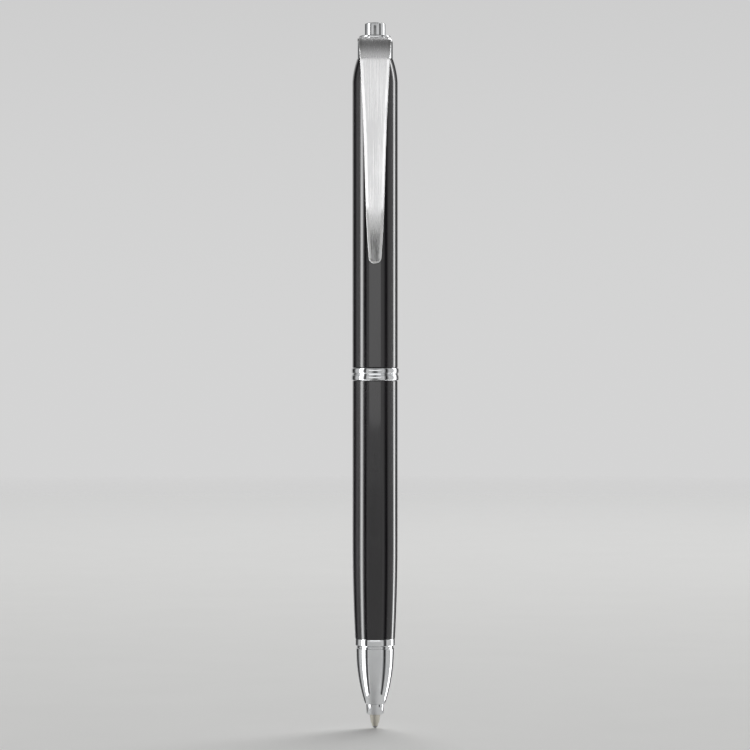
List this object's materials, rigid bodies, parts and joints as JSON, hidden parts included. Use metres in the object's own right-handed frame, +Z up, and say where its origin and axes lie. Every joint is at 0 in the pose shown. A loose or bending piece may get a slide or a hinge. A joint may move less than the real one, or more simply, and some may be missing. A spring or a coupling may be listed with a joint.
{
  "type": "retractable ballpoint pen",
  "caption": "Slim retractable ballpoint pen: lacquered two-part barrel, tapered metal strap clip, push button, rotary click cam, sprung refill.",
  "frame": {"origin": "on the pen's axis, at the plane where the lower barrel meets the centre ring", "axes": "+Z up the axis from the writing tip to the push button, -Y towards the clip, +X to the right as seen from the clip's side"},
  "size_m": [0.009, 0.0122, 0.1341],
  "materials": {
    "black_lacquer": "gloss",
    "chrome_trim": "polished",
    "clip_steel": "satin",
    "spring_steel": "bright wire",
    "brass": "turned",
    "nickel": "turned",
    "carbide": "polished",
    "refill_metal": "drawn tube",
    "ink": "wet",
    "acetal_black": "moulded",
    "acetal_white": "moulded"
  },
  "bodies": {
    "lower_barrel": {"lower_barrel": "black_lacquer", "nose_cone": "chrome_trim", "return_spring": "spring_steel"},
    "refill": {"writing_tip": "nickel", "refill_neck": "brass", "refill_tube": "refill_metal", "ink_column": "ink", "refill_plug": "acetal_black"},
    "writing_ball": {"writing_ball": "carbide"},
    "centre_ring": {"centre_ring": "chrome_trim"},
    "upper_barrel": {"upper_barrel": "black_lacquer", "joint_bush": "brass", "cam_sleeve": "acetal_white", "clip_collar": "chrome_trim", "clip_ring": "clip_steel", "crown_nut": "chrome_trim"},
    "button": {"push_button": "chrome_trim", "plunger": "acetal_white"},
    "cam_rotor": {"cam_rotor": "acetal_black"},
    "clip": {"clip_arm": "clip_steel"}
  },
  "joints": [
    {"name": "refill_slide", "type": "slide", "parent": "lower_barrel", "child": "refill", "axis": [0, 0, 1], "range_m": [0, 0.006], "deforming": ["return_spring"]},
    {"name": "ball_roll", "type": "hinge", "parent": "refill", "child": "writing_ball", "pos_m": [0, 0, -0.0655], "axis": [1, 0, 0], "continuous": true},
    {"name": "upper_lift", "type": "slide", "parent": "lower_barrel", "child": "centre_ring", "axis": [0, 0, 1], "range_m": [0, 0.045]},
    {"name": "upper_turn", "type": "hinge", "parent": "centre_ring", "child": "upper_barrel", "pos_m": [0, 0, 0], "axis": [0, 0, 1], "continuous": true},
    {"name": "button_slide", "type": "slide", "parent": "upper_barrel", "child": "button", "axis": [0, 0, 1], "range_m": [0, 0.006]},
    {"name": "cam_turn", "type": "hinge", "parent": "button", "child": "cam_rotor", "pos_m": [0, 0, 0.04], "axis": [0, 0, 1], "continuous": true},
    {"name": "clip_flex", "type": "hinge", "parent": "upper_barrel", "child": "clip", "pos_m": [0, -0.00312, 0.0647], "axis": [-1, 0, 0], "range_deg": [0, 2.5], "stiffness_Nm_per_rad": 1.5}
  ],
  "couplings": [
    {"joint": "refill_slide", "follows": "button_slide", "ratio": 1}
  ]
}
